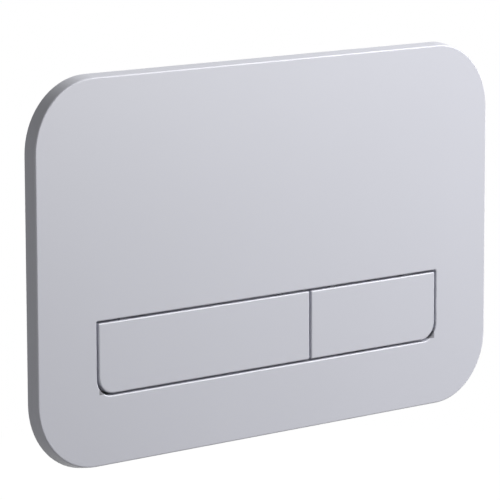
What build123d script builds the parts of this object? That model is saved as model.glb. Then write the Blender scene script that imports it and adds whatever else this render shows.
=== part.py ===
from build123d import *
import os
from math import cos, radians, sin, tan

os.makedirs("parts", exist_ok=True)

# Frame: +X to the right, +Y into the wall, +Z up, with the wall's surface at Y = 0
# Cover plate
plate_width = 250.0
plate_height = 160.0
plate_depth = 5.6
plate_corner_radius = 30.0
side_draft = 11.0
plate_wall = 2.2
front_edge_radius = 0.7

# Opening for the buttons, low in the cover plate
opening_side_margin = 30.8
opening_bottom_margin = 29.4
opening_height = 31.1
opening_corner_radius = 7.5
opening_top_radius = 0.6
opening_edge_radius = 0.6
collar_wall = 1.4
collar_depth = 5.0

# Buttons
small_button_width = 72.2
button_gap = 0.9
button_split_gap = 1.0
button_face = 2.0
button_wall = 1.5
button_depth = 4.2
button_edge_radius = 0.6
button_corner_radius = 0.5
button_travel = 10.0
button_rib_height = 1.3
button_rib_width = 1.2
button_rib_pitch = 24.0
pusher_radius = 5.0
pusher_height = 1.9
pusher_rise = 8.0

# Button hinges
pin_radius = 1.0
pin_play = 0.05
pin_press = 0.02
eye_wall = 1.2
eye_width = 2.5
lug_width = 2.5
lug_inset = 14.0
lug_gusset = 6.0
hinge_gap = 0.3
hinge_cover = 0.2

# Mounting frame
flange_thickness = 2.2
flange_gap = 1.0
tub_depth = 10.0
tub_wall = 2.0
tub_side_margin = 6.0
tub_end_margin = 9.0
tub_corner_radius = 8.0
floor_thickness = 2.2
floor_recess = 2.0
service_margin = 11.0
service_corner_radius = 6.0
frame_rib = 1.6
frame_rib_pitch = 30.0
frame_boss_wall = 2.0

# Snap hooks that hold the cover plate on the frame
hook_width = 10.0
hook_thickness = 1.5
hook_gap = 0.3
hook_floor_gap = 1.3
hook_barb = 1.4
hook_barb_length = 3.0
hook_spacing = 100.0

# Ribs behind the cover plate
seat_rib_width = 1.4
seat_rib_length = 8.0
seat_rib_pitch = 50.0
seat_rib_columns = 4
seat_rib_rows = 2
back_rib_width = 1.2
back_rib_height = 1.6
back_rib_pitch = 28.0
back_rib_count = 4

# Push rods and their stacks
push_gap = 0.3
head_radius = 5.5
head_dome_radius = 9.0
head_thickness = 4.0
head_cap = 1.6
rod_shoulder = 0.5
thread_play = 0.05
lock_nut_sides = 6
lock_nut_flats = 8.0
lock_nut_thickness = 3.0
spring_washer_rim = 0.45
spring_washer_thickness = 0.8
rod_radius = 3.0
rod_play = 0.05
rod_tail = 24.0
rod_end_chamfer = 0.8
rod_notch_pitch = 5.0
rod_notch_width = 0.8
rod_notch_depth = 0.6
clip_radius = 5.2
clip_thickness = 0.8
clip_gap = 0.15
clip_slot = 3.4

# Return springs
spring_length = 15.0
spring_wire_radius = 0.45
spring_wire_sides = 8
spring_rod_gap = 1.05
spring_turns = 6
spring_end_gap = 0.05

# Guide bushes
bush_head_gap = 0.5
bush_wall = 1.5
bush_flange_width = 2.5
bush_flange_thickness = 1.5
bush_end = 2.0
bush_gap = 0.1

# Fixing studs
stud_radius = 4.0
stud_tail = 34.0
stud_chamfer = 0.8
stud_collar_radius = 6.5
stud_collar_thickness = 2.0
stud_nose_radius = 3.0
stud_nose_reach = 1.0
stud_inset = 26.2
stud_rise = 19.5
stud_land = 16.0
slot_length = 16.0
slot_gap = 0.4
stud_washer_radius = 9.0
stud_washer_thickness = 1.5
stud_washer_gap = 0.2
thumb_nut_radius = 8.0
thumb_nut_thickness = 5.0
thumb_nut_grips = 12
thumb_nut_grip_radius = 1.2

# Stop pads
pad_radius = 3.5
pad_gap = 0.4
pad_stem_radius = 2.0
pad_stem_gap = 0.1
pad_inset = 16.0

# Levels along Y that follow from the sizes
front = -plate_depth
plate_back = front + plate_wall
collar_back = front + collar_depth
button_inside = front + button_face
button_back = front + button_depth
eye_radius = pin_radius + eye_wall
hinge_y = button_inside + hinge_gap + eye_radius
pusher_face = button_inside + pusher_height
head_front = pusher_face + push_gap
head_back = head_front + head_thickness
nut_back = head_back + lock_nut_thickness
spring_front = nut_back + spring_washer_thickness
spring_back = spring_front + spring_length
bush_back = spring_back + bush_end
clip_front = bush_back + clip_gap
clip_back = clip_front + clip_thickness
rod_back = clip_back + rod_tail
floor_back = tub_depth - floor_recess
floor_front = floor_back - floor_thickness
hook_back = floor_front - hook_floor_gap
stud_washer_front = floor_front - stud_washer_thickness
thumb_nut_front = stud_washer_front - thumb_nut_thickness
stud_collar_back = tub_depth + stud_collar_thickness
stud_back = stud_collar_back + stud_tail

# Radii of the rods' stacks that follow from the sizes
thread_radius = rod_radius - rod_shoulder
spring_radius = rod_radius + spring_rod_gap + spring_wire_radius
spring_washer_radius = spring_radius + spring_wire_radius + spring_washer_rim
bush_bore_radius = max(head_radius, spring_washer_radius) + bush_head_gap
bush_radius = bush_bore_radius + bush_wall
bush_flange_radius = bush_radius + bush_flange_width

# Places across the plate that follow from the sizes
opening_left = opening_side_margin - plate_width / 2
opening_right = -opening_left
opening_bottom = opening_bottom_margin - plate_height / 2
opening_top = opening_bottom + opening_height
button_bottom = opening_bottom + button_gap
button_top = opening_top - button_gap
small_right = opening_right - button_gap
small_left = small_right - small_button_width
large_left = opening_left + button_gap
large_right = small_left - button_split_gap
hinge_z = button_top - eye_radius - hinge_cover
rod_z = button_bottom + pusher_rise
stud_z = opening_top + stud_rise
tub_width = 2 * (opening_right + tub_side_margin)
tub_height = 2 * (tub_end_margin - opening_bottom)
tub_inside_width = tub_width - 2 * tub_wall
tub_inside_height = tub_height - 2 * tub_wall
stud_x = tub_inside_width / 2 - stud_inset
service_right = stud_x - stud_land
service_top = tub_inside_height / 2 - service_margin
service_bottom = opening_top + service_margin

# Thickness of the sloping skirt measured level with the wall, and the room inside it
skirt_wall = plate_wall / cos(radians(side_draft))
flange_inset = skirt_wall + flange_thickness * tan(radians(side_draft)) + flange_gap
flange_width = plate_width - 2 * flange_inset
flange_height = plate_height - 2 * flange_inset
flange_corner_radius = plate_corner_radius - flange_inset

# Each button: left side, right side, radius at its lower left and at its lower right corner
buttons = {
    "large": (large_left, large_right, opening_corner_radius, button_corner_radius),
    "small": (small_left, small_right, button_corner_radius, opening_corner_radius),
}


def depth_plane(depth):
    """Plane level with the wall at a depth behind its surface, facing the room."""
    return Plane.XZ.offset(-depth)


def panel(left, right, bottom, top, radii):
    """Draws a rectangle in the open sketch, with radii from the lower left corner round to the upper left."""
    with BuildLine() as outline:
        FilletPolyline((left, bottom), (right, bottom), (right, top), (left, top), radius=radii, close=True)
    make_face(outline.edges())


def round_bar(x, z, radius, start, end, mode=Mode.ADD):
    """Adds a round length along Y to the open part, or takes it away."""
    with BuildSketch(depth_plane(end)) as section:
        with Locations((x, z)):
            Circle(radius)
    extrude(section.sketch, amount=end - start, mode=mode)


def cross_bar(radius, left, right, mode=Mode.ADD):
    """Adds a round length along X on the hinge line to the open part, or takes it away."""
    with BuildSketch(Plane.YZ.offset(left)) as section:
        with Locations((hinge_y, hinge_z)):
            Circle(radius)
    extrude(section.sketch, amount=right - left, mode=mode)


def lug_places(left, right):
    """Gives the middles of a button's two hinge lugs along X."""
    return (left + lug_inset, right - lug_inset)


def save(builder, name):
    """Names a finished piece and writes it to its own file."""
    builder.part.label = name
    export_step(builder.part, f"parts/{name}.step")


# Cover plate: a drafted shell, with the opening's collar standing inside it
with BuildPart() as front_plate:
    with BuildSketch(depth_plane(0)):
        RectangleRounded(plate_width, plate_height, plate_corner_radius)
    extrude(amount=plate_depth, taper=side_draft)
    fillet(front_plate.faces().sort_by(Axis.Y)[0].edges(), front_edge_radius)
    with BuildSketch(depth_plane(0)):
        RectangleRounded(
            plate_width - 2 * skirt_wall,
            plate_height - 2 * skirt_wall,
            plate_corner_radius - skirt_wall,
        )
    extrude(amount=plate_depth - plate_wall, taper=side_draft, mode=Mode.SUBTRACT)

    # Collar and opening
    collar_round = opening_corner_radius + collar_wall
    collar_top_round = opening_top_radius + collar_wall
    with BuildSketch(depth_plane(collar_back)):
        panel(
            opening_left - collar_wall,
            opening_right + collar_wall,
            opening_bottom - collar_wall,
            opening_top + collar_wall,
            (collar_round, collar_round, collar_top_round, collar_top_round),
        )
    extrude(amount=collar_back - plate_back)
    with BuildSketch(depth_plane(collar_back)):
        panel(
            opening_left,
            opening_right,
            opening_bottom,
            opening_top,
            (opening_corner_radius, opening_corner_radius, opening_top_radius, opening_top_radius),
        )
    extrude(amount=collar_depth, mode=Mode.SUBTRACT)
    opening_edge = front_plate.faces().sort_by(Axis.Y)[0].inner_wires()[0].edges()
    fillet(opening_edge, opening_edge_radius)

    # Lugs that reach down behind the buttons' top edges and carry the hinge pins
    for left, right, *_ in buttons.values():
        for lug_x in lug_places(left, right):
            with BuildSketch(Plane.YZ.offset(lug_x)):
                with BuildLine():
                    Polyline(
                        (hinge_y - eye_radius, hinge_z),
                        (hinge_y - eye_radius, opening_top),
                        (plate_back, opening_top),
                        (plate_back, opening_top + collar_wall + lug_gusset),
                        (hinge_y + eye_radius, opening_top + collar_wall),
                        (hinge_y + eye_radius, hinge_z),
                        close=True,
                    )
                make_face()
                with Locations((hinge_y, hinge_z)):
                    Circle(eye_radius)
            extrude(amount=lug_width / 2, both=True)
        cross_bar(pin_radius + pin_press, left, right, mode=Mode.SUBTRACT)

    # Ribs that bear on the frame's flange, along the top and bottom and at both ends
    seat_rib_back = -flange_thickness
    with BuildSketch(depth_plane(seat_rib_back)):
        rib_rows_apart = plate_height - 2 * plate_wall - seat_rib_length
        with GridLocations(seat_rib_pitch, rib_rows_apart, seat_rib_columns, 2):
            Rectangle(seat_rib_width, seat_rib_length)
        rib_ends_apart = plate_width - 2 * plate_wall - seat_rib_length
        with GridLocations(rib_ends_apart, seat_rib_pitch, 2, seat_rib_rows):
            Rectangle(seat_rib_length, seat_rib_width)
    extrude(amount=seat_rib_back - plate_back)

    # Stiffening ribs behind the plain upper part of the face
    back_rib_low = opening_top + collar_wall + lug_gusset
    back_rib_high = tub_inside_height / 2 - hook_gap - 2 * hook_thickness
    back_rib_back = plate_back + back_rib_height
    with BuildSketch(depth_plane(back_rib_back)):
        with Locations((0, (back_rib_low + back_rib_high) / 2)):
            with GridLocations(back_rib_pitch, 0, back_rib_count, 1):
                Rectangle(back_rib_width, back_rib_high - back_rib_low)
            Rectangle((back_rib_count - 1) * back_rib_pitch, back_rib_width)
    extrude(amount=back_rib_height)

    # Snap hooks, with sloping barbs that catch in the tub's upper and lower walls
    hook_outside = tub_inside_height / 2 - hook_gap
    for hook_x in (-hook_spacing / 2, hook_spacing / 2):
        with BuildSketch(Plane.YZ.offset(hook_x)):
            with BuildLine():
                Polyline(
                    (plate_back, hook_outside - hook_thickness),
                    (plate_back, hook_outside),
                    (hook_back - hook_barb_length, hook_outside),
                    (hook_back - hook_barb_length, hook_outside + hook_barb),
                    (hook_back, hook_outside),
                    (hook_back, hook_outside - hook_thickness),
                    close=True,
                )
            make_face()
            mirror(about=Plane.XZ)
        extrude(amount=hook_width / 2, both=True)
save(front_plate, "front_plate")

# Buttons: shallow caps with a pusher, ribs and hinge eyes behind
for size, (left, right, left_round, right_round) in buttons.items():
    rod_x = (left + right) / 2
    radii = (left_round, right_round, button_corner_radius, button_corner_radius)
    with BuildPart() as button:
        with BuildSketch(depth_plane(button_back)):
            panel(left, right, button_bottom, button_top, radii)
        extrude(amount=button_depth)
        with BuildSketch(depth_plane(button_back)):
            panel(
                left + button_wall,
                right - button_wall,
                button_bottom + button_wall,
                button_top - button_wall,
                [max(radius - button_wall, button_corner_radius) for radius in radii],
            )
        extrude(amount=button_depth - button_face, mode=Mode.SUBTRACT)
        fillet(button.faces().sort_by(Axis.Y)[0].edges(), button_edge_radius)

        # Room in the top wall for the cover plate's lugs
        notch_width = lug_width + 2 * hinge_gap
        with BuildSketch(depth_plane(button_back)):
            with Locations(*((lug_x, button_top - button_wall / 2) for lug_x in lug_places(left, right))):
                Rectangle(notch_width, button_wall)
        extrude(amount=button_depth - button_face, mode=Mode.SUBTRACT)

        # Hinge eyes on both sides of each lug
        eye_offset = notch_width / 2 + eye_width / 2
        for lug_x in lug_places(left, right):
            for eye_x in (lug_x - eye_offset, lug_x + eye_offset):
                with BuildSketch(Plane.YZ.offset(eye_x)):
                    with Locations((hinge_y, hinge_z)):
                        Circle(eye_radius)
                    with Locations(((button_inside + hinge_y) / 2, hinge_z)):
                        Rectangle(hinge_y - button_inside, 2 * eye_radius)
                extrude(amount=eye_width / 2, both=True)
        cross_bar(pin_radius + pin_play, left + button_wall, right - button_wall, mode=Mode.SUBTRACT)

        # Ribs below the hinge line, and the pusher that meets the rod's head
        rib_low = button_bottom + button_wall
        rib_high = hinge_z - eye_radius - hinge_gap
        rib_count = int((right - left - 2 * button_wall) // button_rib_pitch)
        with BuildSketch(depth_plane(button_inside + button_rib_height)):
            with Locations((rod_x, (rib_low + rib_high) / 2)):
                with GridLocations(button_rib_pitch, 0, rib_count, 1):
                    Rectangle(button_rib_width, rib_high - rib_low)
            with Locations((rod_x, rod_z)):
                Rectangle(right - left - 2 * button_wall, button_rib_width)
        extrude(amount=button_rib_height)
        round_bar(rod_x, rod_z, pusher_radius, button_inside, pusher_face)
    save(button, f"{size}_button")

    # Hinge pin, held in the lugs
    with BuildPart() as hinge_pin:
        pin_reach = notch_width / 2 + eye_width
        first_lug, last_lug = lug_places(left, right)
        cross_bar(pin_radius, first_lug - pin_reach, last_lug + pin_reach)
    save(hinge_pin, f"{size}_hinge_pin")

    # Domed head that the pusher meets: a bar from the pusher's face, trimmed by the dome's sphere
    with BuildPart() as rod_head:
        round_bar(rod_x, rod_z, head_radius, pusher_face, head_back)
        with Locations((rod_x, head_front + head_dome_radius, rod_z)):
            Sphere(head_dome_radius, mode=Mode.INTERSECT)
        round_bar(rod_x, rod_z, thread_radius + thread_play, head_front + head_cap, head_back, Mode.SUBTRACT)
    save(rod_head, f"{size}_rod_head")

    # Hexagon nut that locks the head
    with BuildPart() as lock_nut:
        with BuildSketch(depth_plane(nut_back)):
            with Locations((rod_x, rod_z)):
                RegularPolygon(lock_nut_flats / 2, lock_nut_sides, major_radius=False)
                Circle(thread_radius + thread_play, mode=Mode.SUBTRACT)
        extrude(amount=lock_nut_thickness)
    save(lock_nut, f"{size}_lock_nut")

    # Washer between the nut and the spring, clamped on the rod's shoulder
    with BuildPart() as spring_washer:
        round_bar(rod_x, rod_z, spring_washer_radius, nut_back, spring_front)
        round_bar(rod_x, rod_z, thread_radius + thread_play, nut_back, spring_front, Mode.SUBTRACT)
    save(spring_washer, f"{size}_spring_washer")

    # Rod: threaded nose, shoulder, clip groove and snap-off notches along the tail
    notch_radius = rod_radius - rod_notch_depth
    with BuildPart() as push_rod:
        round_bar(rod_x, rod_z, thread_radius, head_front + head_cap, spring_front)
        round_bar(rod_x, rod_z, rod_radius, spring_front, rod_back)
        chamfer(push_rod.faces().sort_by(Axis.Y)[-1].edges(), rod_end_chamfer)
        notches = [(clip_front, clip_back)]
        for step in range(1, int(rod_tail // rod_notch_pitch) + 1):
            notch_start = clip_back + step * rod_notch_pitch - rod_notch_pitch / 2
            notches.append((notch_start, notch_start + rod_notch_width))
        for notch_start, notch_end in notches:
            with BuildSketch(depth_plane(notch_end)):
                with Locations((rod_x, rod_z)):
                    Circle(rod_radius)
                    Circle(notch_radius, mode=Mode.SUBTRACT)
            extrude(amount=notch_end - notch_start, mode=Mode.SUBTRACT)
    save(push_rod, f"{size}_push_rod")

    # E-clip in the rod's groove, against the bush when the button is at rest
    with BuildPart() as retaining_clip:
        with BuildSketch(depth_plane(clip_back)):
            with Locations((rod_x, rod_z)):
                Circle(clip_radius)
                Circle(notch_radius + thread_play, mode=Mode.SUBTRACT)
            with Locations((rod_x, rod_z - clip_radius / 2)):
                Rectangle(clip_slot, clip_radius, mode=Mode.SUBTRACT)
        extrude(amount=clip_thickness)
    save(retaining_clip, f"{size}_retaining_clip")

    # Coil spring round the rod
    with BuildPart() as return_spring:
        coil_start = spring_front + spring_wire_radius + spring_end_gap
        coil_height = spring_length - 2 * (spring_wire_radius + spring_end_gap)
        with BuildLine() as coil:
            Helix(
                coil_height / spring_turns,
                coil_height,
                spring_radius,
                center=(rod_x, coil_start, rod_z),
                direction=(0, 1, 0),
            )
        with BuildSketch(Plane(coil.line @ 0, z_dir=coil.line % 0)):
            RegularPolygon(spring_wire_radius, spring_wire_sides)
        sweep(path=coil.line, is_frenet=True)
    save(return_spring, f"{size}_return_spring")

    # Flanged bush in the frame's floor, with the spring inside it
    with BuildPart() as guide_bush:
        bush_front = floor_front - bush_flange_thickness
        round_bar(rod_x, rod_z, bush_flange_radius, bush_front, floor_front)
        round_bar(rod_x, rod_z, bush_radius, bush_front, bush_back)
        round_bar(rod_x, rod_z, bush_bore_radius, bush_front, spring_back, Mode.SUBTRACT)
        round_bar(rod_x, rod_z, rod_radius + rod_play, spring_back, bush_back, Mode.SUBTRACT)
    save(guide_bush, f"{size}_guide_bush")

    # Rubber pads under the button's lower wall, with stems in the frame's floor
    pressed = radians(button_travel)
    pressed_reach = (button_back - hinge_y) * cos(pressed) + (hinge_z - button_bottom) * sin(pressed)
    pad_front = hinge_y + pressed_reach + pad_gap
    pad_z = button_bottom + button_wall / 2
    with BuildPart() as stop_pads:
        for pad_x in (left + pad_inset, right - pad_inset):
            round_bar(pad_x, pad_z, pad_radius, pad_front, floor_front)
            round_bar(pad_x, pad_z, pad_stem_radius, floor_front, floor_back)
    save(stop_pads, f"{size}_stop_pads")

# Mounting frame: a flange on the wall and a tub in the wall's opening
with BuildPart() as mounting_frame:
    with BuildSketch(depth_plane(0)):
        RectangleRounded(flange_width, flange_height, flange_corner_radius)
    extrude(amount=flange_thickness)
    with BuildSketch(depth_plane(tub_depth)):
        RectangleRounded(tub_width, tub_height, tub_corner_radius)
    extrude(amount=tub_depth)
    with BuildSketch(depth_plane(floor_front)):
        RectangleRounded(tub_inside_width, tub_inside_height, tub_corner_radius - tub_wall)
    extrude(amount=floor_front + flange_thickness, mode=Mode.SUBTRACT)

    # Hollow the back of the floor, leaving ribs and bosses level with the tub's rear edge
    with BuildSketch(depth_plane(tub_depth)):
        RectangleRounded(tub_inside_width, tub_inside_height, tub_corner_radius - tub_wall)
        with Locations((0, (service_bottom + service_top) / 2)):
            RectangleRounded(
                2 * (service_right + frame_rib),
                service_top - service_bottom + 2 * frame_rib,
                service_corner_radius + frame_rib,
                mode=Mode.SUBTRACT,
            )
        rib_columns = int(2 * service_right // frame_rib_pitch)
        with Locations((0, (service_top + tub_inside_height / 2) / 2)):
            with GridLocations(frame_rib_pitch, 0, rib_columns, 1):
                Rectangle(frame_rib, tub_inside_height / 2 - service_top, mode=Mode.SUBTRACT)
        with Locations((0, (service_bottom - tub_inside_height / 2) / 2)):
            with GridLocations(frame_rib_pitch, 0, rib_columns, 1):
                Rectangle(frame_rib, tub_inside_height / 2 + service_bottom, mode=Mode.SUBTRACT)
        with Locations((-stud_x, 0), (stud_x, 0)):
            Rectangle(frame_rib, tub_inside_height, mode=Mode.SUBTRACT)
        with Locations((0, stud_z), (0, rod_z)):
            Rectangle(tub_inside_width, frame_rib, mode=Mode.SUBTRACT)
        boss_radius = bush_radius + bush_gap + frame_boss_wall
        with Locations(*(((left + right) / 2, rod_z) for left, right, *_ in buttons.values())):
            Circle(boss_radius, mode=Mode.SUBTRACT)
        slot_width = 2 * (stud_nose_radius + slot_gap)
        with Locations((-stud_x, stud_z), (stud_x, stud_z)):
            SlotOverall(
                slot_length + 2 * frame_boss_wall,
                slot_width + 2 * frame_boss_wall,
                rotation=90,
                mode=Mode.SUBTRACT,
            )
    extrude(amount=floor_recess, mode=Mode.SUBTRACT)

    # Service opening, bush holes, stud slots and pad holes through the floor
    with BuildSketch(depth_plane(tub_depth)):
        with Locations((0, (service_bottom + service_top) / 2)):
            RectangleRounded(2 * service_right, service_top - service_bottom, service_corner_radius)
        for left, right, *_ in buttons.values():
            with Locations(((left + right) / 2, rod_z)):
                Circle(bush_radius + bush_gap)
            with Locations((left + pad_inset, pad_z), (right - pad_inset, pad_z)):
                Circle(pad_stem_radius + pad_stem_gap)
        with Locations((-stud_x, stud_z), (stud_x, stud_z)):
            SlotOverall(slot_length, slot_width, rotation=90)
    extrude(amount=tub_depth - floor_front, mode=Mode.SUBTRACT)

    # Windows in the upper and lower walls for the snap hooks' barbs
    window_front = hook_back - hook_barb_length - hook_gap
    window_back = hook_back + hook_gap
    with BuildSketch(depth_plane(window_back)):
        with GridLocations(hook_spacing, tub_height - tub_wall, 2, 2):
            Rectangle(hook_width + 2 * hook_gap, tub_wall)
    extrude(amount=window_back - window_front, mode=Mode.SUBTRACT)
save(mounting_frame, "mounting_frame")

# Studs clamped in the frame between their collars and the thumb nuts
for side, stud_place in (("left", -stud_x), ("right", stud_x)):
    with BuildPart() as fixing_stud:
        round_bar(stud_place, stud_z, stud_nose_radius, thumb_nut_front - stud_nose_reach, tub_depth)
        round_bar(stud_place, stud_z, stud_collar_radius, tub_depth, stud_collar_back)
        round_bar(stud_place, stud_z, stud_radius, stud_collar_back, stud_back)
        stud_ends = fixing_stud.faces().filter_by(Axis.Y).sort_by(Axis.Y)
        chamfer(stud_ends[0].edges() + stud_ends[-1].edges(), stud_chamfer)
    save(fixing_stud, f"{side}_fixing_stud")

    with BuildPart() as stud_washer:
        round_bar(stud_place, stud_z, stud_washer_radius, stud_washer_front, floor_front)
        washer_bore = stud_nose_radius + stud_washer_gap
        round_bar(stud_place, stud_z, washer_bore, stud_washer_front, floor_front, Mode.SUBTRACT)
    save(stud_washer, f"{side}_stud_washer")

    with BuildPart() as thumb_nut:
        with BuildSketch(depth_plane(stud_washer_front)):
            with Locations((stud_place, stud_z)):
                Circle(thumb_nut_radius)
                Circle(stud_nose_radius + thread_play, mode=Mode.SUBTRACT)
                with PolarLocations(thumb_nut_radius, thumb_nut_grips):
                    Circle(thumb_nut_grip_radius, mode=Mode.SUBTRACT)
        extrude(amount=thumb_nut_thickness)
    save(thumb_nut, f"{side}_thumb_nut")
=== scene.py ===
import math

import bpy
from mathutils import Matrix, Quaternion, Vector


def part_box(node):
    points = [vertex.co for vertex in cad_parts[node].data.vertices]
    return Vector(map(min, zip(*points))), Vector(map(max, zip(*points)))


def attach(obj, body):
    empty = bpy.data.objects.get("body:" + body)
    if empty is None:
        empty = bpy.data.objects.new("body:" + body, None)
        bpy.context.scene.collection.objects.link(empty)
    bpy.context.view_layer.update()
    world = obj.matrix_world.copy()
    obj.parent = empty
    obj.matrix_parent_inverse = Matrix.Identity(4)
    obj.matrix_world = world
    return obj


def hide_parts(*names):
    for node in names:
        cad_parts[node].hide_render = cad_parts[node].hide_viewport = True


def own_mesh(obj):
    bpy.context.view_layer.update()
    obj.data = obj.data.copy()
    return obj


bl_info = {
    "name": "Flush button plate",
    "version": (1, 0, 0),
    "blender": (4, 5, 0),
    "location": "View3D > Sidebar > Flush plate",
    "description": "Dresses a flush button plate for a concealed cistern and sets its stage",
    "category": "Object",
}

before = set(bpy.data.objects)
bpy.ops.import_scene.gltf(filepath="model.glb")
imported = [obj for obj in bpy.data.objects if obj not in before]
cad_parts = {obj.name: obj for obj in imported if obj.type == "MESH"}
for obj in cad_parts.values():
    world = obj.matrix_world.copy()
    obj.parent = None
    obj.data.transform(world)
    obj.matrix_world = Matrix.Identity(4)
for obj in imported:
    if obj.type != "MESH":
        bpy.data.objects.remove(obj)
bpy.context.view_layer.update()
MM = 0.001
PLATE_LOW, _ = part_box("front_plate")
_, FRAME_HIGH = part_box("mounting_frame")
BUTTONS = ("large", "small")
ENDS = ("left", "right")
LAMPS = ("key", "front", "top", "left", "back")

# Roughness of each moulded material, and the height of the grain that its mould leaves
MOULDINGS = {
    "white_plastic": (0.48, 0.03 * MM),
    "bush_acetal": (0.34, 0.01 * MM),
    "rod_plastic": (0.38, 0.015 * MM),
    "nut_plastic": (0.42, 0.03 * MM),
    "pad_rubber": (0.75, 0.05 * MM),
}

# Faces that meet at less than this are shaded as one
THREAD_SMOOTH = math.radians(35)
WIRE_SMOOTH = math.radians(40)


class Wire:
    """One output of a shader node, or only its tree. Python's operators on it add Math nodes."""

    def __init__(self, tree, socket=None):
        self.tree = tree
        self.socket = socket

    def node(self, kind, settings, inputs, output=0):
        """Adds a node, sets its settings and then its sockets, and gives one of its outputs."""
        made = self.tree.nodes.new(kind)
        for name, value in settings.items():
            setattr(made, name, value)
        for name, value in inputs.items():
            if isinstance(value, Wire):
                self.tree.links.new(value.socket, made.inputs[name])
            else:
                made.inputs[name].default_value = value
        return Wire(self.tree, made.outputs[output])

    def maths(self, operation, first, second, clamped=False):
        settings = {"operation": operation, "use_clamp": clamped}
        return self.node("ShaderNodeMath", settings, {0: first, 1: second})

    def __add__(self, other):
        return self.maths("ADD", self, other)

    __radd__ = __add__

    def __sub__(self, other):
        return self.maths("SUBTRACT", self, other)

    def __rsub__(self, other):
        return self.maths("SUBTRACT", other, self)

    def __mul__(self, other):
        return self.maths("MULTIPLY", self, other)

    __rmul__ = __mul__

    def share(self, start, end):
        """How far this value has gone from start to end, held between 0 and 1."""
        return self.maths("MULTIPLY", self - start, 1 / (end - start), clamped=True)

    def along(self, axis):
        """One of this place's coordinates."""
        return self.node("ShaderNodeSeparateXYZ", {}, {0: self}, output=axis)

    def stretched(self, x, y, z):
        """This place with its axes drawn out or in, for a pattern with a direction."""
        return self.node("ShaderNodeMapping", {}, {"Vector": self, "Scale": (x, y, z)})

    def noise(self, scale, detail=2.0):
        """Soft noise at this place, with so many lumps to the metre."""
        return self.node("ShaderNodeTexNoise", {}, {"Vector": self, "Scale": scale, "Detail": detail})

    def grains(self, scale):
        """A grey of its own for each grain, with so many grains to the metre."""
        sockets = {"Vector": self, "Scale": scale}
        return self.node("ShaderNodeTexVoronoi", {}, sockets, output="Color")

    def scaled(self, factor):
        """This colour times a value."""
        settings = {"operation": "SCALE"}
        return self.node("ShaderNodeVectorMath", settings, {0: self, "Scale": factor})

    def tint(self, low, high):
        """Goes from one colour to another as this value goes from 0 to 1."""
        sockets = {"Factor": self, 6: (*low, 1.0), 7: (*high, 1.0)}
        return self.node("ShaderNodeMix", {"data_type": "RGBA"}, sockets, output=2)

    def bump(self, strength, height):
        """Normals of a surface raised by this value times a height in metres."""
        sockets = {"Height": self, "Strength": strength, "Distance": height}
        return self.node("ShaderNodeBump", {}, sockets)


def new_material(name, constants):
    """Makes a material, sets its shader's constants, and gives both with the places on the piece."""
    material = bpy.data.materials.new(name)
    material.use_nodes = True
    tree = material.node_tree
    shader = tree.nodes["Principled BSDF"]
    for socket, value in constants.items():
        shader.inputs[socket].default_value = value
    place = Wire(tree).node("ShaderNodeTexCoord", {}, {}, output="Object")
    return material, shader, place


def feed(shader, wires):
    """Links values that change over the surface to the shader's sockets."""
    for socket, wire in wires.items():
        wire.tree.links.new(wire.socket, shader.inputs[socket])


def shaded(color, factor):
    """A colour made lighter or darker by one factor."""
    return tuple(min(1.0, part * factor) for part in color)


def mottled(pattern, color, stray):
    """A colour that strays as far to darker as to lighter over a pattern."""
    return pattern.tint(shaded(color, 1 - stray), shaded(color, 1 + stray))


def dress(names, material):
    """Gives the named nodes one material."""
    for name in names:
        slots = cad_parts[name].data.materials
        slots.clear()
        slots.append(material)


def each(owners, *pieces):
    """Names of like pieces of several owners, such as both buttons' pins."""
    return [f"{owner}_{piece}" for owner in owners for piece in pieces]


def moulded(name, color, constants):
    """Moulded plastic or rubber: a faint cloud in its colour and a fine grain from the mould."""
    clouds_per_metre = 18.0
    pits_per_metre = 2600.0
    pit_detail = 3.0
    pit_strength = 0.3
    color_stray = 0.03
    roughness_span = 0.1
    roughness, grain = MOULDINGS[name]
    material, shader, place = new_material(name, constants)
    pits = place.noise(pits_per_metre, pit_detail)
    wires = {
        "Base Color": mottled(place.noise(clouds_per_metre), color, color_stray),
        "Roughness": roughness - roughness_span / 2 + roughness_span * pits,
        "Normal": pits.bump(pit_strength, grain),
    }
    feed(shader, wires)
    return material


def bright_steel(color):
    """Drawn steel with fine lines across Y."""
    lines_per_metre = 9000.0
    line_detail = 3.0
    line_stretch = 0.06
    line_strength = 0.25
    line_height = 0.01 * MM
    spots_per_metre = 300.0
    color_stray = 0.08
    least_roughness = 0.2
    roughness_span = 0.2
    material, shader, place = new_material("bright_steel", {"Metallic": 1.0})
    lines = place.stretched(line_stretch, 1.0, line_stretch).noise(lines_per_metre, line_detail)
    wires = {
        "Base Color": mottled(place.noise(spots_per_metre), color, color_stray),
        "Roughness": least_roughness + roughness_span * lines,
        "Normal": lines.bump(line_strength, line_height),
    }
    feed(shader, wires)
    return material


def zinc_plating(color):
    """Bright zinc with a hazy, finely grained gloss."""
    hazes_per_metre = 220.0
    haze_detail = 4.0
    grains_per_metre = 900.0
    dull = 0.86
    bright = 1.08
    least_roughness = 0.24
    haze_roughness = 0.2
    grain_roughness = 0.08
    material, shader, place = new_material("zinc_plating", {"Metallic": 1.0})
    haze = place.noise(hazes_per_metre, haze_detail)
    grains = place.grains(grains_per_metre)
    wires = {
        "Base Color": haze.tint(shaded(color, dull), shaded(color, bright)),
        "Roughness": least_roughness + haze_roughness * haze + grain_roughness * grains,
    }
    feed(shader, wires)
    return material


def lug_shade_mask(place):
    """1 on the hinge lugs, which alone of the cover plate are inside its opening, and 0 elsewhere. It
    marks where painted shade darkens the lugs seen through the gap.
    """
    gap_above = 0.9 * MM
    fade = 0.1 * MM
    low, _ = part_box("large_button")
    _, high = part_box("small_button")
    top = high.z + gap_above
    across = place.along("X")
    up = place.along("Z")
    between_sides = across.share(low.x, low.x + fade) * across.share(high.x, high.x - fade)
    return between_sides * up.share(low.z, low.z + fade) * up.share(top, top - fade)


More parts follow.
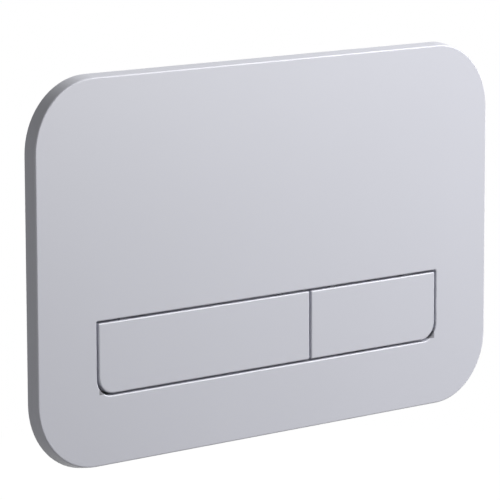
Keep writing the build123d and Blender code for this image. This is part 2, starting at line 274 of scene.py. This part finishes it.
def satin_chrome(name, color, roughness, shade_mask_at=None):
    """Satin chrome on plastic: a faint cloud and a very fine grain, and, where a mask is given, painted
    shade in its colour and a rougher gloss.
    """
    clouds_per_metre = 14.0
    grains_per_metre = 3500.0
    grain_detail = 1.0
    grain_strength = 0.15
    grain_height = 0.01 * MM
    color_stray = 0.015
    roughness_span = 0.06
    shade_darkening = 0.6
    gloss_loss = 0.4
    material, shader, place = new_material(name, {"Specular IOR Level": 1.0})
    grain = place.noise(grains_per_metre, grain_detail)
    tone = mottled(place.noise(clouds_per_metre), color, color_stray)
    spread = roughness - roughness_span / 2 + roughness_span * grain
    # Painted shade: where the mask is 1 the colour is darkened and the gloss made rougher, so the lugs
    # lit through the gap stay dark
    if shade_mask_at:
        painted_shade = shade_mask_at(place)
        tone = tone.scaled(1 - shade_darkening * painted_shade)
        spread = spread + gloss_loss * painted_shade
    wires = {
        "Base Color": tone,
        "Roughness": spread,
        "Normal": grain.bump(grain_strength, grain_height),
    }
    feed(shader, wires)
    return material


def turned(name, place, stations, sides):
    """Makes a closed round piece along Y: a disc drawn back through stations of depth and radius."""
    depth, radius = stations[0]
    bpy.ops.object.select_all(action="DESELECT")
    bpy.ops.mesh.primitive_circle_add(
        vertices=sides,
        radius=radius,
        fill_type="NGON",
        location=(place.x, depth, place.z),
        rotation=(math.radians(90), 0, 0),
    )
    piece = bpy.context.object
    piece.name = name
    bpy.ops.object.transform_apply()
    bpy.ops.object.mode_set(mode="EDIT")
    bpy.ops.mesh.select_all(action="SELECT")
    for next_depth, next_radius in stations[1:]:
        step = (0, next_depth - depth, 0)
        scale = next_radius / radius
        centre = (place.x, next_depth, place.z)
        bpy.ops.mesh.extrude_region_move(TRANSFORM_OT_translate={"value": step})
        bpy.ops.transform.resize(value=(scale, 1, scale), center_override=centre)
        depth, radius = next_depth, next_radius
    bpy.ops.mesh.select_all(action="SELECT")
    bpy.ops.mesh.normals_make_consistent(inside=False)
    bpy.ops.object.mode_set(mode="OBJECT")
    return piece


def cut_thread(piece, place, start, end, thread):
    """Cuts a thread into a turned piece between two depths, running out at the first one."""
    mesh = piece.data
    near = MM / 10
    bpy.ops.object.mode_set(mode="EDIT")
    bpy.ops.mesh.select_mode(type="EDGE")
    bpy.ops.mesh.select_all(action="DESELECT")
    bpy.ops.object.mode_set(mode="OBJECT")
    for edge in mesh.edges:
        first, last = sorted(mesh.vertices[index].co.y for index in edge.vertices)
        edge.select = abs(first - start) < near and abs(last - end) < near
    rows = round((end - start) / thread.pitch * thread.rows)
    bpy.ops.object.mode_set(mode="EDIT")
    bpy.ops.mesh.subdivide(number_cuts=rows - 1)
    bpy.ops.object.mode_set(mode="OBJECT")
    for vertex in mesh.vertices:
        along = vertex.co.y - start
        across = Vector((vertex.co.x - place.x, vertex.co.z - place.z))
        if not -near < along < end - start + near or abs(across.length - thread.radius) > near:
            continue
        turn = math.atan2(across.y, across.x) / math.tau
        phase = (along / thread.pitch - turn) % 1.0
        ridge = min(1.0, max(0.0, thread.flank * (1 - abs(2 * phase - 1)) - thread.root))
        runout = min(1.0, max(0.0, along / thread.pitch))
        scale = 1 - thread.depth / thread.radius * (1 - ridge) * runout
        vertex.co.x = place.x + across.x * scale
        vertex.co.z = place.z + across.y * scale
    bpy.ops.object.shade_smooth_by_angle(angle=THREAD_SMOOTH)


def wound(name, place, start, end, coil):
    """Winds a round wire along Y between two depths, with closed turns at both ends."""
    turns = coil.turns + 2 * coil.end_turns
    height = end - start - 2 * coil.wire
    bpy.ops.object.select_all(action="DESELECT")
    bpy.ops.mesh.primitive_circle_add(vertices=coil.wire_sides, radius=coil.wire)
    piece = bpy.context.object
    piece.name = name
    bpy.ops.object.mode_set(mode="EDIT")
    bpy.ops.mesh.select_all(action="SELECT")
    bpy.ops.transform.translate(value=(coil.radius, 0, 0))
    bpy.ops.object.mode_set(mode="OBJECT")
    screw = piece.modifiers.new("coil", "SCREW")
    screw.axis = "Y"
    screw.iterations = turns
    screw.screw_offset = height / turns
    screw.steps = coil.steps
    screw.render_steps = coil.steps
    bpy.ops.object.modifier_apply(modifier=screw.name)

    # The wire now rises evenly: each section shifts to where closed and open turns put it
    mesh = piece.data
    sections = len(mesh.vertices) // coil.wire_sides - 1
    closed = 2 * coil.wire
    opened = (height - 2 * coil.end_turns * closed) / coil.turns
    for vertex in mesh.vertices:
        turn = vertex.index // coil.wire_sides / sections * turns
        open_turns = min(max(turn - coil.end_turns, 0), coil.turns)
        vertex.co.y += (turn - open_turns) * closed + open_turns * opened - turn * height / turns
    bpy.ops.object.mode_set(mode="EDIT")
    bpy.ops.mesh.select_all(action="SELECT")
    bpy.ops.mesh.fill_holes(sides=0)
    bpy.ops.mesh.normals_make_consistent(inside=False)
    bpy.ops.object.mode_set(mode="OBJECT")
    bpy.ops.object.shade_smooth_by_angle(angle=WIRE_SMOOTH)
    piece.location = (place.x, start + coil.wire, place.z)
    bpy.ops.object.transform_apply()
    return piece


def middle(node):
    """Middle of a node's box."""
    low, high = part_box(node)
    return (low + high) / 2


def copied(piece, name, shift):
    """Copies a finished piece, with a mesh of its own, and shifts the copy."""
    bpy.ops.object.select_all(action="DESELECT")
    piece.select_set(True)
    bpy.context.view_layer.objects.active = piece
    bpy.ops.object.duplicate()
    copy = bpy.context.object
    copy.name = name
    bpy.ops.transform.translate(value=shift)
    bpy.ops.object.transform_apply()
    return copy


class FinishSettings(bpy.types.PropertyGroup):
    """Colours and gloss of the finishes."""

    chrome_color: bpy.props.FloatVectorProperty(
        name="Satin chrome",
        description="Colour of the cover plate and buttons",
        default=(0.597, 0.604, 0.67),
        subtype="COLOR",
    )
    chrome_roughness: bpy.props.FloatProperty(
        name="Satin roughness",
        description="How far the satin chrome spreads a reflection",
        default=0.42,
        subtype="FACTOR",
    )
    frame_color: bpy.props.FloatVectorProperty(
        name="Mounting frame",
        description="Colour of the frame's white plastic",
        default=(0.82, 0.81, 0.785),
        subtype="COLOR",
    )
    bush_color: bpy.props.FloatVectorProperty(
        name="Guide bushes",
        description="Colour of the bushes' natural acetal",
        default=(0.70, 0.70, 0.66),
        subtype="COLOR",
    )
    rod_color: bpy.props.FloatVectorProperty(
        name="Push rods",
        description="Colour of the rods and their heads",
        default=(0.42, 0.44, 0.47),
        subtype="COLOR",
    )
    steel_color: bpy.props.FloatVectorProperty(
        name="Bright steel",
        description="Colour of pins, nuts, washers, clips and springs",
        default=(0.46, 0.46, 0.47),
        subtype="COLOR",
    )
    zinc_color: bpy.props.FloatVectorProperty(
        name="Zinc plating",
        description="Colour of the studs and their washers",
        default=(0.42, 0.44, 0.47),
        subtype="COLOR",
    )
    nut_color: bpy.props.FloatVectorProperty(
        name="Thumb nuts",
        description="Colour of the thumb nuts' plastic",
        default=(0.06, 0.06, 0.065),
        subtype="COLOR",
    )
    rubber_color: bpy.props.FloatVectorProperty(
        name="Stop pads",
        description="Colour of the pads' rubber",
        default=(0.035, 0.035, 0.038),
        subtype="COLOR",
    )


class ThreadSettings(bpy.types.PropertyGroup):
    """Steps and thread of the fixing studs."""

    radius: bpy.props.FloatProperty(
        name="Thread radius",
        description="Radius to the crests of the tail's thread",
        default=4.0 * MM,
        unit="LENGTH",
    )
    pitch: bpy.props.FloatProperty(
        name="Pitch",
        description="From one crest to the next",
        default=1.25 * MM,
        unit="LENGTH",
    )
    depth: bpy.props.FloatProperty(
        name="Depth",
        description="From crest to root",
        default=0.72 * MM,
        unit="LENGTH",
    )
    flank: bpy.props.FloatProperty(
        name="Flank",
        description="Steepness of the flanks, where 1 has no flats",
        default=1.4,
    )
    root: bpy.props.FloatProperty(
        name="Root",
        description="Share of the steepness that the root's flat takes",
        default=0.2,
    )
    rows: bpy.props.IntProperty(
        name="Rows",
        description="Rings of points along one pitch",
        default=8,
    )
    sides: bpy.props.IntProperty(
        name="Sides",
        description="Points round the stud",
        default=40,
    )
    nose_radius: bpy.props.FloatProperty(
        name="Nose radius",
        description="Radius of the stud in its thumb nut",
        default=3.0 * MM,
        unit="LENGTH",
    )
    collar_thickness: bpy.props.FloatProperty(
        name="Collar thickness",
        description="Length of the collar behind the frame",
        default=2.0 * MM,
        unit="LENGTH",
    )
    chamfer: bpy.props.FloatProperty(
        name="Chamfer",
        description="Chamfer at both ends",
        default=0.8 * MM,
        unit="LENGTH",
    )
    broken_edge: bpy.props.FloatProperty(
        name="Broken edge",
        description="Chamfer of the collar's edges",
        default=0.25 * MM,
        unit="LENGTH",
    )


class SpringSettings(bpy.types.PropertyGroup):
    """Wire and turns of the return springs."""

    radius: bpy.props.FloatProperty(
        name="Coil radius",
        description="Radius to the wire's middle",
        default=4.5 * MM,
        unit="LENGTH",
    )
    wire: bpy.props.FloatProperty(
        name="Wire radius",
        description="Radius of the wire",
        default=0.45 * MM,
        unit="LENGTH",
    )
    turns: bpy.props.IntProperty(
        name="Open turns",
        description="Turns that give way",
        default=5,
    )
    end_turns: bpy.props.IntProperty(
        name="Closed turns",
        description="Turns that lie close at each end",
        default=1,
    )
    steps: bpy.props.IntProperty(
        name="Steps",
        description="Sections along one turn",
        default=36,
    )
    wire_sides: bpy.props.IntProperty(
        name="Wire sides",
        description="Points round the wire",
        default=12,
    )
    kept_length: bpy.props.FloatProperty(
        name="Kept length",
        description="Share of its length that a spring keeps at the end of its rod's travel",
        default=0.767,
        subtype="FACTOR",
    )


def lamp_power(where, power):
    """Property for the power of a lamp, with its place in words."""
    return bpy.props.FloatProperty(
        name=f"Lamp power, {where}",
        description=f"Power of the lamp {where}",
        default=power,
        unit="POWER",
    )


def lamp_size(where, size):
    """Property for the side of a square lamp."""
    return bpy.props.FloatProperty(
        name=f"Lamp size, {where}",
        description=f"Side of the lamp {where}",
        default=size,
        unit="LENGTH",
    )


def lamp_place(where, place):
    """Property for where a lamp stands."""
    return bpy.props.FloatVectorProperty(
        name=f"Lamp place, {where}",
        description=f"Where the lamp {where} stands",
        default=place,
        subtype="XYZ",
        unit="LENGTH",
    )


class StageSettings(bpy.types.PropertyGroup):
    """Floor, lights and camera."""

    floor_drop: bpy.props.FloatProperty(
        name="Floor drop",
        description="Height of the plate's lower edge above the floor",
        default=0.06,
        unit="LENGTH",
    )
    floor_size: bpy.props.FloatProperty(
        name="Floor size",
        description="Side of the floor",
        default=40.0,
        unit="LENGTH",
    )
    ambient: bpy.props.FloatProperty(
        name="Ambient",
        description="Strength of the even light from all round",
        default=0.075,
    )
    key_power: lamp_power("high at the right", 15.2)
    key_size: lamp_size("high at the right", 0.6)
    key_place: lamp_place("high at the right", (0.9, -0.525, 0.75))
    front_power: lamp_power("in front at the right", 3.65)
    front_size: lamp_size("in front at the right", 0.45)
    front_place: lamp_place("in front at the right", (0.46, -0.8, 0.2))
    top_power: lamp_power("overhead", 0.6)
    top_size: lamp_size("overhead", 0.35)
    top_place: lamp_place("overhead", (0.3, 0.25, 0.7))
    left_power: lamp_power("low at the left", 0.3)
    left_size: lamp_size("low at the left", 0.2)
    left_place: lamp_place("low at the left", (-0.7, -0.1, -0.05))
    back_power: lamp_power("behind the plate", 5.0)
    back_size: lamp_size("behind the plate", 0.3)
    back_place: lamp_place("behind the plate", (0.12, 0.85, 0.12))
    lens: bpy.props.FloatProperty(
        name="Lens",
        description="Focal length",
        default=239.31,
        unit="CAMERA",
    )
    sensor: bpy.props.FloatProperty(
        name="Sensor",
        description="Width of the camera's sensor",
        default=36.0,
        unit="CAMERA",
    )
    stand: bpy.props.FloatVectorProperty(
        name="Stand",
        description="Where the camera stands",
        default=(-901.64 * MM, -1039.74 * MM, 223.81 * MM),
        subtype="XYZ",
        unit="LENGTH",
    )
    aim: bpy.props.FloatVectorProperty(
        name="Aim",
        description="Point of the face that the camera looks at",
        default=(-13.11 * MM, -5.6 * MM, 0.92 * MM),
        subtype="XYZ",
        unit="LENGTH",
    )
    roll: bpy.props.FloatProperty(
        name="Roll",
        description="Turn of the camera about its line of sight",
        default=math.radians(-0.172),
        subtype="ANGLE",
    )


class PLATE_OT_cover(bpy.types.Operator):
    """Gives the cover plate and the buttons their satin chrome finish"""

    bl_idname = "plate.cover"
    bl_label = "Cover plate and buttons"

    def execute(self, context):
        finish = context.scene.plate_finish
        color = finish.chrome_color
        roughness = finish.chrome_roughness
        # The plate's hinge lugs get painted shade where they show in the gap round the buttons
        dress(["front_plate"], satin_chrome("plate_chrome", color, roughness, shade_mask_at=lug_shade_mask))
        dress(each(BUTTONS, "button"), satin_chrome("button_chrome", color, roughness))
        return {"FINISHED"}


class PLATE_OT_frame(bpy.types.Operator):
    """Gives the mounting frame its white plastic"""

    bl_idname = "plate.frame"
    bl_label = "Mounting frame"

    def execute(self, context):
        color = context.scene.plate_finish.frame_color
        dress(["mounting_frame"], moulded("white_plastic", color, {}))
        return {"FINISHED"}


class PLATE_OT_guides(bpy.types.Operator):
    """Gives the guide bushes, the rods and the rod heads their plastics"""

    bl_idname = "plate.guides"
    bl_label = "Bushes and rods"

    def execute(self, context):
        finish = context.scene.plate_finish
        milky = {"Subsurface Weight": 0.2, "Subsurface Scale": 1.5 * MM}
        acetal = moulded("bush_acetal", finish.bush_color, milky)
        grey = moulded("rod_plastic", finish.rod_color, {})
        dress(each(BUTTONS, "guide_bush"), acetal)
        dress(each(BUTTONS, "push_rod", "rod_head"), grey)
        return {"FINISHED"}


class PLATE_OT_steelwork(bpy.types.Operator):
    """Gives pins, nuts, washers and clips their bright steel, and winds the springs"""

    bl_idname = "plate.steelwork"
    bl_label = "Pins, clips and springs"

    def execute(self, context):
        coil = context.scene.plate_spring
        material = bright_steel(context.scene.plate_finish.steel_color)
        dress(each(BUTTONS, "hinge_pin", "lock_nut", "spring_washer", "retaining_clip"), material)
        low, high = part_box("large_return_spring")
        place = middle("large_return_spring")
        large = wound("large_wound_spring", place, low.y, high.y, coil)
        large.data.materials.append(material)
        small = copied(large, "small_wound_spring", middle("small_return_spring") - place)
        for button, spring in zip(BUTTONS, (large, small)):
            node = f"{button}_return_spring"
            fixed_end = middle(node)
            fixed_end.y = high.y
            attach(spring, "plate")
            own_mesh(spring)
            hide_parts(node)
        return {"FINISHED"}


class PLATE_OT_studs(bpy.types.Operator):
    """Turns and threads the fixing studs, and plates them and their washers with zinc"""

    bl_idname = "plate.studs"
    bl_label = "Fixing studs and washers"

    def execute(self, context):
        thread = context.scene.plate_thread
        material = zinc_plating(context.scene.plate_finish.zinc_color)
        dress(each(ENDS, "stud_washer"), material)
        low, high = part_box("left_fixing_stud")
        place = middle("left_fixing_stud")
        collar = (high.x - low.x) / 2
        collar_front = FRAME_HIGH.y
        collar_back = collar_front + thread.collar_thickness
        thread_end = high.y - thread.chamfer
        stations = (
            (low.y, thread.nose_radius - thread.chamfer),
            (low.y + thread.chamfer, thread.nose_radius),
            (collar_front, thread.nose_radius),
            (collar_front, collar - thread.broken_edge),
            (collar_front + thread.broken_edge, collar),
            (collar_back - thread.broken_edge, collar),
            (collar_back, collar - thread.broken_edge),
            (collar_back, thread.radius),
            (thread_end, thread.radius),
            (high.y, thread.radius - thread.chamfer),
        )
        left = turned("left_threaded_stud", place, stations, thread.sides)
        cut_thread(left, place, collar_back, thread_end, thread)
        left.data.materials.append(material)
        right = copied(left, "right_threaded_stud", middle("right_fixing_stud") - place)
        for end, stud in zip(ENDS, (left, right)):
            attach(stud, "plate")
            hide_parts(f"{end}_fixing_stud")
        return {"FINISHED"}


class PLATE_OT_nuts(bpy.types.Operator):
    """Gives the thumb nuts their black plastic"""

    bl_idname = "plate.nuts"
    bl_label = "Thumb nuts"

    def execute(self, context):
        color = context.scene.plate_finish.nut_color
        dress(each(ENDS, "thumb_nut"), moulded("nut_plastic", color, {}))
        return {"FINISHED"}


class PLATE_OT_pads(bpy.types.Operator):
    """Gives the stop pads their rubber"""

    bl_idname = "plate.pads"
    bl_label = "Stop pads"

    def execute(self, context):
        color = context.scene.plate_finish.rubber_color
        dress(each(BUTTONS, "stop_pads"), moulded("pad_rubber", color, {}))
        return {"FINISHED"}


def seen_rays(tree):
    """1 for rays that bring a picture to the eye, 0 for those that only carry light about."""
    straight = Wire(tree).node("ShaderNodeLightPath", {}, {}, output="Is Camera Ray")
    mirrored = Wire(tree).node("ShaderNodeLightPath", {}, {}, output="Is Glossy Ray")
    through = Wire(tree).node("ShaderNodeLightPath", {}, {}, output="Is Transmission Ray")
    return straight + mirrored + through


def floor_white():
    """White to the eye with the object's soft shadow close under it, and grey to other light."""
    grey = (0.12, 0.12, 0.12)
    pale = (0.85, 0.85, 0.85)
    white = (1.0, 1.0, 1.0)
    shadow_full = 0.1
    shadow_gone = 0.3
    shadow_lift = 1.06
    shadow_glow = 0.8
    material, shader, place = new_material("floor_white", {"Roughness": 0.9, "Specular IOR Level": 0.1})
    tree = material.node_tree
    seen = seen_rays(tree)
    feed(shader, {"Base Color": seen.tint(grey, pale)})
    flat = place.stretched(1, 1, 0)
    away = flat.node("ShaderNodeVectorMath", {"operation": "LENGTH"}, {0: flat}, output="Value")
    far = away.share(shadow_full, shadow_gone)
    lifted = tuple(part * shadow_lift for part in white)
    glow = far.node("ShaderNodeEmission", {}, {"Color": far.tint(lifted, white), "Strength": 1.0})
    glowing = seen * (shadow_glow + (1 - shadow_glow) * far)
    sockets = {0: glowing, 1: Wire(tree, shader.outputs[0]), 2: glow}
    mixed = seen.node("ShaderNodeMixShader", {}, sockets)
    tree.links.new(mixed.socket, tree.nodes["Material Output"].inputs["Surface"])
    return material


def hang_lamp(scene, settings, name):
    """Hangs one of the square soft lamps, looking at the plate."""
    light = bpy.data.lights.new(name, "AREA")
    light.energy = getattr(settings, f"{name}_power")
    light.size = getattr(settings, f"{name}_size")
    lamp = bpy.data.objects.new(name, light)
    place = Vector(getattr(settings, f"{name}_place"))
    lamp.location = place
    lamp.rotation_mode = "QUATERNION"
    lamp.rotation_quaternion = (-place).to_track_quat("-Z", "Y")
    scene.collection.objects.link(lamp)


class PLATE_OT_stage(bpy.types.Operator):
    """Sets the floor, the lights, the world and the camera"""

    bl_idname = "plate.stage"
    bl_label = "Stage"

    def execute(self, context):
        scene = context.scene
        settings = scene.plate_stage
        floor_level = PLATE_LOW.z - settings.floor_drop
        bpy.ops.object.select_all(action="DESELECT")
        bpy.ops.mesh.primitive_plane_add(size=settings.floor_size, location=(0, 0, floor_level))
        floor = context.object
        floor.name = "floor"
        bpy.ops.object.transform_apply()
        floor.data.materials.append(floor_white())

        world = bpy.data.worlds.new("studio")
        world.use_nodes = True
        scene.world = world
        tree = world.node_tree
        ambient = tree.nodes["Background"]
        ambient.inputs["Color"].default_value = (1, 1, 1, 1)
        strength = settings.ambient + (1 - settings.ambient) * seen_rays(tree)
        tree.links.new(strength.socket, ambient.inputs["Strength"])

        for name in LAMPS:
            hang_lamp(scene, settings, name)

        camera = bpy.data.cameras.new("photo")
        camera.lens = settings.lens
        camera.sensor_width = settings.sensor
        holder = bpy.data.objects.new("photo", camera)
        holder.location = settings.stand
        holder.rotation_mode = "QUATERNION"
        sight = (Vector(settings.aim) - Vector(settings.stand)).to_track_quat("-Z", "Y")
        holder.rotation_quaternion = sight @ Quaternion((0, 0, 1), settings.roll)
        scene.collection.objects.link(holder)
        scene.camera = holder
        scene.view_settings.view_transform = "Standard"
        return {"FINISHED"}


class PLATE_PT_panel(bpy.types.Panel):
    """Lists the plate's steps"""

    bl_idname = "PLATE_PT_panel"
    bl_label = "Flush plate"
    bl_space_type = "VIEW_3D"
    bl_region_type = "UI"
    bl_category = "Flush plate"

    def draw(self, context):
        for operator in OPERATORS:
            self.layout.operator(operator.bl_idname)


SETTINGS = {
    "plate_finish": FinishSettings,
    "plate_thread": ThreadSettings,
    "plate_spring": SpringSettings,
    "plate_stage": StageSettings,
}
OPERATORS = (
    PLATE_OT_cover,
    PLATE_OT_frame,
    PLATE_OT_guides,
    PLATE_OT_steelwork,
    PLATE_OT_studs,
    PLATE_OT_nuts,
    PLATE_OT_pads,
    PLATE_OT_stage,
)


def register():
    for name, group in SETTINGS.items():
        bpy.utils.register_class(group)
        setattr(bpy.types.Scene, name, bpy.props.PointerProperty(type=group))
    for made in (*OPERATORS, PLATE_PT_panel):
        bpy.utils.register_class(made)


def unregister():
    for made in (PLATE_PT_panel, *OPERATORS):
        bpy.utils.unregister_class(made)
    for name, group in SETTINGS.items():
        delattr(bpy.types.Scene, name)
        bpy.utils.unregister_class(group)


def main():
    register()
    bpy.ops.plate.cover()
    bpy.ops.plate.frame()
    bpy.ops.plate.guides()
    bpy.ops.plate.steelwork()
    bpy.ops.plate.studs()
    bpy.ops.plate.nuts()
    bpy.ops.plate.pads()
    bpy.ops.plate.stage()


if __name__ == "__main__":
    main()
